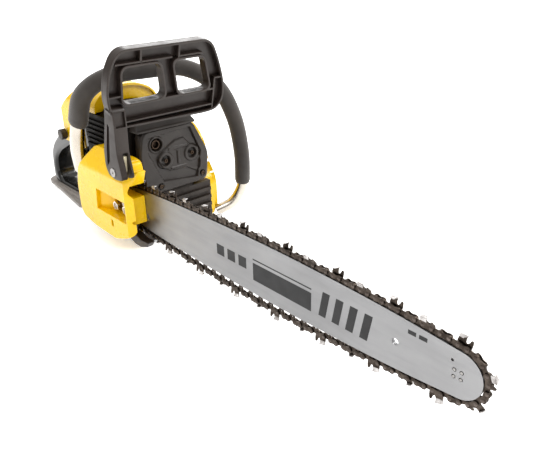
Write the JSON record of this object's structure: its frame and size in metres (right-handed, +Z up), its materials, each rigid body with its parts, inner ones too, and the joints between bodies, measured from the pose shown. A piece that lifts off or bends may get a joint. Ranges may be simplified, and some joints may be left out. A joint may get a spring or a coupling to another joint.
{
  "type": "petrol chainsaw",
  "caption": "Hand-held petrol chainsaw with guide bar, saw chain, chain-brake hand guard, front and rear handles, two-stroke engine and recoil starter.",
  "frame": {"origin": "on the flat underside of the crankcase, under the crankshaft axis; the drive sprocket's centre, in the middle plane of the guide bar, is at (0, -0.05, 0.066)", "axes": "+X forward along the bar to its nose, +Y to the operator's left (starter side), +Z up"},
  "size_m": [0.8845, 0.235, 0.2813],
  "materials": {
    "yellow_plastic": "glossy moulded",
    "black_plastic": "fine grain moulded",
    "gloss_black_plastic": "polished moulded",
    "black_casting": "black powder coat on cast metal",
    "black_heat_shield": "matte black pressed cover",
    "grip_foam": "soft matte foam rubber",
    "rubber": "matte",
    "bar_steel": "satin ground",
    "chain_steel": "blued dark steel",
    "steel": "machined",
    "bright_steel": "bright zinc plate",
    "bare_aluminium": "satin tube",
    "cast_aluminium": "as cast",
    "cream_plastic": "natural nylon",
    "filter_felt": "pleated felt",
    "brass": "machined",
    "red_plastic": "glossy moulded",
    "rope": "braided cord"
  },
  "bodies": {
    "machine": {"saw_chain": "chain_steel", "bar_plate_right": "bar_steel", "bar_core": "bar_steel", "bar_plate_left": "bar_steel", "nose_bearing": "steel", "connecting_rod": "steel", "piston": "cast_aluminium", "cylinder": "cast_aluminium", "spark_plug": "steel", "brake_band": "steel", "ignition_coil": "black_plastic", "crankcase": "black_casting", "oil_pump": "cast_aluminium", "engine_shroud": "black_plastic", "muffler": "chain_steel", "muffler_cover": "black_heat_shield", "muffler_screw_1": "steel", "muffler_screw_2": "steel", "muffler_screw_3": "steel", "muffler_screw_4": "steel", "air_filter": "filter_felt", "carburettor": "cast_aluminium", "intake_boot": "rubber", "top_cover": "yellow_plastic", "starter_housing": "yellow_plastic", "starter_spring": "steel", "starter_rope": "rope", "clutch_cover": "yellow_plastic", "bar_stud_1": "steel", "bar_stud_2": "steel", "bar_nut_1": "bright_steel", "bar_nut_2": "bright_steel", "chain_catcher": "black_plastic", "guard_pivot": "steel", "front_handle": "bare_aluminium", "front_grip": "grip_foam", "rear_handle": "gloss_black_plastic", "trigger_pin": "steel", "lockout_pin": "steel"},
    "nose": {"nose_sprocket": "steel"},
    "crank": {"crankshaft": "steel", "clutch_hub": "steel", "sprocket_clip": "bright_steel", "flywheel": "cast_aluminium", "flywheel_nut": "bright_steel"},
    "drum": {"clutch_drum": "steel"},
    "guard": {"hand_guard": "black_plastic"},
    "brake_lever": {"brake_lever": "cream_plastic"},
    "trigger": {"throttle_trigger": "black_plastic"},
    "throttle": {"throttle_butterfly": "brass"},
    "lockout": {"throttle_lockout": "black_plastic"},
    "choke": {"choke_lever": "black_plastic"},
    "choke_plate": {"choke_butterfly": "brass"},
    "stop_switch": {"stop_switch": "red_plastic"},
    "starter_pulley": {"starter_pulley": "black_plastic"},
    "starter_grip": {"starter_grip": "rubber"},
    "oil_cap": {"oil_cap": "black_plastic"},
    "fuel_cap": {"fuel_cap": "black_plastic"},
    "cover_knob": {"cover_knob": "black_plastic"},
    "primer": {"primer_bulb": "red_plastic"}
  },
  "joints": [
    {"name": "crank_spin", "type": "hinge", "parent": "machine", "child": "crank", "pos_m": [0, -0.05, 0.066], "axis": [0, 1, 0], "continuous": true, "deforming": ["connecting_rod", "piston"]},
    {"name": "drum_spin", "type": "hinge", "parent": "machine", "child": "drum", "pos_m": [0, -0.05, 0.066], "axis": [0, 1, 0], "continuous": true, "deforming": ["saw_chain"]},
    {"name": "nose_spin", "type": "hinge", "parent": "machine", "child": "nose", "pos_m": [0.551, -0.05, 0.066], "axis": [0, 1, 0], "continuous": true, "deforming": ["saw_chain"]},
    {"name": "guard_tilt", "type": "hinge", "parent": "machine", "child": "guard", "pos_m": [0.088, -0.05, 0.126], "axis": [0, 1, 0], "range_deg": [0, 20]},
    {"name": "brake_lever_tilt", "type": "hinge", "parent": "machine", "child": "brake_lever", "pos_m": [0.088, -0.05, 0.126], "axis": [0, 1, 0], "range_deg": [0, 10.5]},
    {"name": "trigger_pull", "type": "hinge", "parent": "machine", "child": "trigger", "pos_m": [-0.151, -0.05, 0.102], "axis": [0, 1, 0], "range_deg": [0, 18]},
    {"name": "throttle_turn", "type": "hinge", "parent": "machine", "child": "throttle", "pos_m": [-0.066, 0.005, 0.124], "axis": [0, 1, 0], "range_deg": [0, 76]},
    {"name": "lockout_press", "type": "hinge", "parent": "machine", "child": "lockout", "pos_m": [-0.19, -0.05, 0.108], "axis": [0, 1, 0], "range_deg": [-10, 0]},
    {"name": "choke_lever_turn", "type": "hinge", "parent": "machine", "child": "choke", "pos_m": [-0.108, 0.05, 0.112], "axis": [0, 1, 0], "range_deg": [0, 35]},
    {"name": "choke_plate_turn", "type": "hinge", "parent": "machine", "child": "choke_plate", "pos_m": [-0.08, 0.005, 0.124], "axis": [0, 1, 0], "range_deg": [0, 72]},
    {"name": "stop_switch_rock", "type": "hinge", "parent": "machine", "child": "stop_switch", "pos_m": [-0.142, 0.001, 0.138], "axis": [0, 1, 0], "range_deg": [-12, 12]},
    {"name": "starter_pull", "type": "slide", "parent": "machine", "child": "starter_grip", "axis": [0, 0, 1], "range_m": [0, 0.8], "deforming": ["starter_rope"]},
    {"name": "starter_pulley_spin", "type": "hinge", "parent": "machine", "child": "starter_pulley", "pos_m": [0, 0.085, 0.066], "axis": [0, 1, 0], "range_deg": [0, 2600]},
    {"name": "oil_cap_unscrew", "type": "hinge", "parent": "machine", "child": "oil_cap", "pos_m": [0.026, 0.095, 0.016], "axis": [0, 1, 0], "range_deg": [0, 540]},
    {"name": "fuel_cap_unscrew", "type": "hinge", "parent": "machine", "child": "fuel_cap", "pos_m": [-0.105, 0.055, 0.036], "axis": [0, 1, 0], "range_deg": [0, 540]},
    {"name": "cover_knob_turn", "type": "hinge", "parent": "machine", "child": "cover_knob", "pos_m": [-0.122, -0.05, 0.124], "axis": [0, 1, 0], "range_deg": [0, 90]},
    {"name": "primer_press", "type": "slide", "parent": "machine", "child": "primer", "axis": [0, -1, 0], "range_m": [0, 0.003]}
  ],
  "couplings": [
    {"joint": "nose_spin", "follows": "drum_spin", "ratio": 0.8},
    {"joint": "brake_lever_tilt", "follows": "guard_tilt", "ratio": 0.5},
    {"joint": "throttle_turn", "follows": "trigger_pull", "ratio": 4.2},
    {"joint": "choke_plate_turn", "follows": "choke_lever_turn", "ratio": 2},
    {"joint": "starter_pulley_spin", "follows": "starter_pull", "rad_per_m": 55.5}
  ]
}
